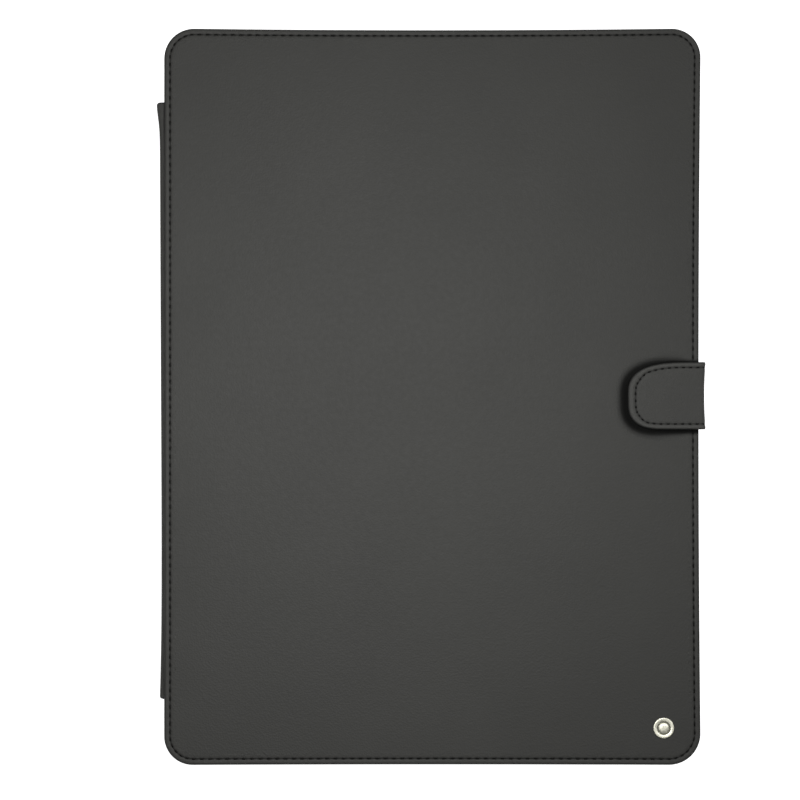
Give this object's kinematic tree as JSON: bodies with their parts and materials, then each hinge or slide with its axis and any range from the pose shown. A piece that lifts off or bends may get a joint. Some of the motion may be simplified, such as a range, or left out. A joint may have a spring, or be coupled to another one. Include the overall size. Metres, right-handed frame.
{
  "type": "tablet case",
  "caption": "Leather folio case for a large tablet: lined tray, front cover on a folding spine strip, and a magnetic closing strap.",
  "frame": {"origin": "on the surface that the closed case lies on, under the middle of the case", "axes": "+Z out of the front cover, +Y to the tablet's top edge, +X to the closing strap; the spine is at -X"},
  "size_m": [0.232, 0.313, 0.017],
  "materials": {
    "leather": "smooth, satin",
    "lining_leather": "smooth, matt",
    "microfibre": "napped",
    "thread": "waxed",
    "moulded_shell": "fine texture",
    "board": "raw",
    "stud_metal": "polished",
    "steel": "zinc plated",
    "magnet": "nickel plated"
  },
  "bodies": {
    "back_shell": {"shell": "moulded_shell", "back_leather": "leather", "side_leather": "leather", "tray_lining": "microfibre", "spine_back_flange": "leather", "spine_back_thread": "thread", "strap_anchor": "leather", "strap_anchor_thread": "thread"},
    "spine": {"spine_leather": "leather", "spine_lining": "lining_leather"},
    "front_cover": {"cover_leather": "leather", "cover_board": "board", "cover_lining": "microfibre", "cover_thread": "thread", "spine_front_flange": "leather", "document_pocket": "lining_leather", "card_pocket_upper": "lining_leather", "card_pocket_lower": "lining_leather", "pocket_thread": "thread", "badge_stud": "stud_metal", "badge_washer": "steel", "keeper_plate": "steel", "sleep_magnets": "magnet"},
    "strap_side": {"strap_side_leather": "leather", "strap_side_lining": "lining_leather"},
    "strap_tab": {"tab_leather": "leather", "tab_lining": "lining_leather", "tab_thread": "thread", "tab_magnet": "magnet"}
  },
  "joints": [
    {"name": "spine_fold", "type": "hinge", "parent": "back_shell", "child": "spine", "pos_m": [-0.1152, 0, 0.00075], "axis": [0, -1, 0], "range_deg": [0, 175]},
    {"name": "cover_fold", "type": "hinge", "parent": "spine", "child": "front_cover", "pos_m": [-0.1152, 0, 0.0121], "axis": [0, -1, 0], "range_deg": [0, 175]},
    {"name": "strap_fold", "type": "hinge", "parent": "back_shell", "child": "strap_side", "pos_m": [0.1152, 0.0004, 0.00075], "axis": [0, 1, 0], "range_deg": [0, 90]},
    {"name": "tab_fold", "type": "hinge", "parent": "strap_side", "child": "strap_tab", "pos_m": [0.1152, 0.0004, 0.0158], "axis": [0, 1, 0], "range_deg": [0, 120]}
  ]
}
